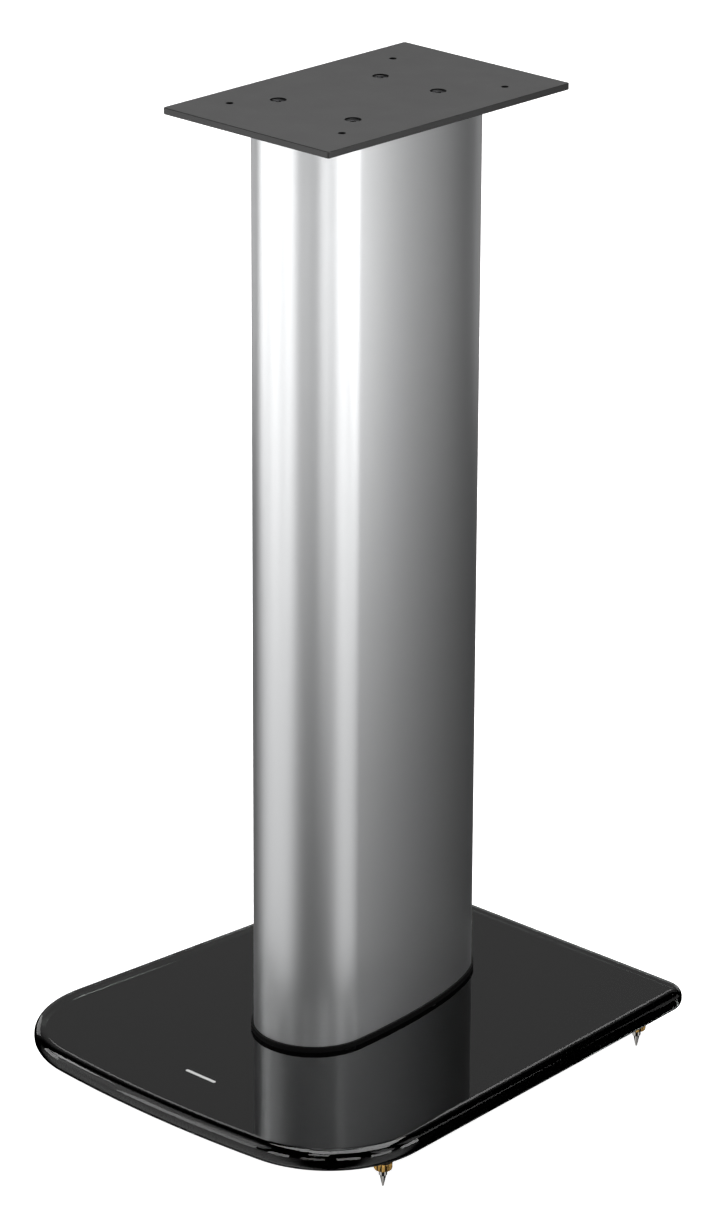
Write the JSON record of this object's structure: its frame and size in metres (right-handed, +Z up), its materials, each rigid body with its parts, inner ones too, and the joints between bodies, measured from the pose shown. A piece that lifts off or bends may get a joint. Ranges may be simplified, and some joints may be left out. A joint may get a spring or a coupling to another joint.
{
  "type": "loudspeaker stand",
  "caption": "Tall stand for a bookshelf loudspeaker: flat steel top plate, teardrop-section aluminium column, black-backed glass base and levelling spikes.",
  "frame": {"origin": "on the floor under the middle of the base's outline", "axes": "+Z up, -Y towards the listener (bowed front of the base), +X to the right seen from behind the -Y side"},
  "size_m": [0.2886, 0.34, 0.606],
  "materials": {
    "satin_black_steel": "satin black powder coat",
    "black_oxide_steel": "black oxide",
    "black_rubber": "matt",
    "anodised_aluminium": "satin silver anodised, fine grained",
    "black_plastic": "fine matt moulding",
    "toughened_glass": "polished clear glass that looks black over its backing",
    "black_backing": "black film on the underside",
    "nylon": "black",
    "zinc_steel": "black zinc plate",
    "grey_print": "light grey print",
    "bright_steel": "turned and polished",
    "brass": "turned, knurled rim"
  },
  "bodies": {
    "stand": {"top_plate": "satin_black_steel", "plate_screws": "black_oxide_steel", "plate_gasket": "black_rubber", "column": "anodised_aluminium", "column_foot_trim": "black_plastic", "glass_base": "toughened_glass", "base_backing": "black_backing", "glass_bushes": "nylon", "clamp_pad": "black_rubber", "clamp_plate": "zinc_steel", "clamp_washers": "zinc_steel", "clamp_bolts": "black_oxide_steel", "badge": "grey_print", "spike_socket_front_left": "zinc_steel", "spike_socket_front_right": "zinc_steel", "spike_socket_rear_left": "zinc_steel", "spike_socket_rear_right": "zinc_steel"},
    "spike_front_left": {"spike_front_left": "bright_steel"},
    "lock_nut_front_left": {"lock_nut_front_left": "brass"},
    "spike_front_right": {"spike_front_right": "bright_steel"},
    "lock_nut_front_right": {"lock_nut_front_right": "brass"},
    "spike_rear_left": {"spike_rear_left": "bright_steel"},
    "lock_nut_rear_left": {"lock_nut_rear_left": "brass"},
    "spike_rear_right": {"spike_rear_right": "bright_steel"},
    "lock_nut_rear_right": {"lock_nut_rear_right": "brass"}
  },
  "joints": [
    {"name": "spike_height_front_left", "type": "slide", "parent": "stand", "child": "spike_front_left", "axis": [0, 0, -1], "range_m": [-0.001, 0.002]},
    {"name": "lock_nut_turn_front_left", "type": "hinge", "parent": "stand", "child": "lock_nut_front_left", "pos_m": [-0.12744, -0.106, 0.014], "axis": [0, 0, 1], "continuous": true},
    {"name": "spike_height_front_right", "type": "slide", "parent": "stand", "child": "spike_front_right", "axis": [0, 0, -1], "range_m": [-0.001, 0.002]},
    {"name": "lock_nut_turn_front_right", "type": "hinge", "parent": "stand", "child": "lock_nut_front_right", "pos_m": [0.12744, -0.106, 0.014], "axis": [0, 0, 1], "continuous": true},
    {"name": "spike_height_rear_left", "type": "slide", "parent": "stand", "child": "spike_rear_left", "axis": [0, 0, -1], "range_m": [-0.001, 0.002]},
    {"name": "lock_nut_turn_rear_left", "type": "hinge", "parent": "stand", "child": "lock_nut_rear_left", "pos_m": [-0.11144, 0.1375, 0.014], "axis": [0, 0, 1], "continuous": true},
    {"name": "spike_height_rear_right", "type": "slide", "parent": "stand", "child": "spike_rear_right", "axis": [0, 0, -1], "range_m": [-0.001, 0.002]},
    {"name": "lock_nut_turn_rear_right", "type": "hinge", "parent": "stand", "child": "lock_nut_rear_right", "pos_m": [0.11144, 0.1375, 0.014], "axis": [0, 0, 1], "continuous": true}
  ]
}
